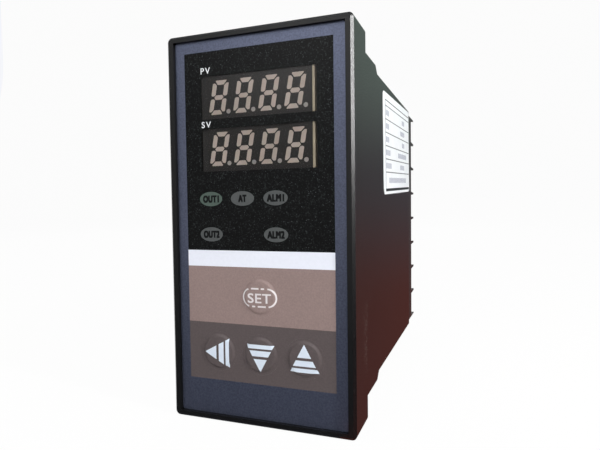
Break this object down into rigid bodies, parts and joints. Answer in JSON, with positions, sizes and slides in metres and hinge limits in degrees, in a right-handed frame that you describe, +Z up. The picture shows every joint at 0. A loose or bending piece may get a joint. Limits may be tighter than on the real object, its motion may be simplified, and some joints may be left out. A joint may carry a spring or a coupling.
{
  "type": "pid temperature controller",
  "caption": "Panel-mounting temperature controller in a tall narrow case, with digital displays, indicator lamps, film keys and a rear screw terminal block.",
  "frame": {"origin": "centre of the seat that the front frame makes on the panel", "axes": "+X right seen from the front, +Y back through the panel, +Z up; the keys face -Y"},
  "size_m": [0.048, 0.111, 0.096],
  "materials": {
    "case_plastic": "fine moulded texture, satin",
    "front_film": "printed polyester, satin",
    "key_film": "embossed printed polyester, satin",
    "stem_plastic": "smooth",
    "black_moulding": "smooth moulded",
    "block_plastic": "moulded, matt",
    "display_shell": "moulded, with a dark printed face",
    "display_resin": "cast resin, diffusing",
    "lamp_resin": "cast resin, diffusing",
    "circuit_board": "solder resist",
    "plated_steel": "nickel plated",
    "gilt_brass": "plated",
    "ferrite": "sintered, matt",
    "winding_tape": "polyester tape over wire",
    "capacitor_sleeve": "shrunk sleeve over aluminium",
    "varistor_coat": "dipped epoxy",
    "relay_cover": "moulded cover",
    "chip_epoxy": "moulded epoxy",
    "fuse_cover": "moulded cover"
  },
  "bodies": {
    "housing": {"front_bezel": "case_plastic", "case": "case_plastic", "overlay_film": "front_film", "switch_bodies": "black_moulding", "switch_covers": "plated_steel", "pv_display_housing": "display_shell", "sv_display_housing": "display_shell", "pv_display_segments": "display_resin", "sv_display_segments": "display_resin", "indicator_lamps": "lamp_resin", "display_board": "circuit_board", "main_board": "circuit_board", "power_board": "circuit_board", "display_board_screws": "plated_steel", "header_strips": "black_moulding", "header_pins": "gilt_brass", "terminal_block": "block_plastic", "terminal_plates": "gilt_brass", "terminal_washers": "plated_steel", "terminal_screws": "plated_steel", "transformer_core": "ferrite", "transformer_bobbin": "black_moulding", "transformer_winding": "winding_tape", "mains_capacitor": "capacitor_sleeve", "output_capacitor": "capacitor_sleeve", "varistor": "varistor_coat", "crystal": "plated_steel", "control_relay": "relay_cover", "alarm_relays": "relay_cover", "power_chip": "chip_epoxy", "bridge_rectifier": "chip_epoxy", "optocoupler": "chip_epoxy", "processor_chip": "chip_epoxy", "amplifier_chip": "chip_epoxy", "mains_fuse": "fuse_cover"},
    "set_key": {"set_key_dome": "key_film", "set_key_stem": "stem_plastic"},
    "shift_key": {"shift_key_dome": "key_film", "shift_key_stem": "stem_plastic"},
    "down_key": {"down_key_dome": "key_film", "down_key_stem": "stem_plastic"},
    "up_key": {"up_key_dome": "key_film", "up_key_stem": "stem_plastic"}
  },
  "joints": [
    {"name": "set_key_press", "type": "slide", "parent": "housing", "child": "set_key", "axis": [0, 1, 0], "range_m": [0, 0.0003], "stiffness_N_per_m": 3000, "springref_m": -0.0002},
    {"name": "shift_key_press", "type": "slide", "parent": "housing", "child": "shift_key", "axis": [0, 1, 0], "range_m": [0, 0.0003], "stiffness_N_per_m": 3000, "springref_m": -0.0002},
    {"name": "down_key_press", "type": "slide", "parent": "housing", "child": "down_key", "axis": [0, 1, 0], "range_m": [0, 0.0003], "stiffness_N_per_m": 3000, "springref_m": -0.0002},
    {"name": "up_key_press", "type": "slide", "parent": "housing", "child": "up_key", "axis": [0, 1, 0], "range_m": [0, 0.0003], "stiffness_N_per_m": 3000, "springref_m": -0.0002}
  ]
}
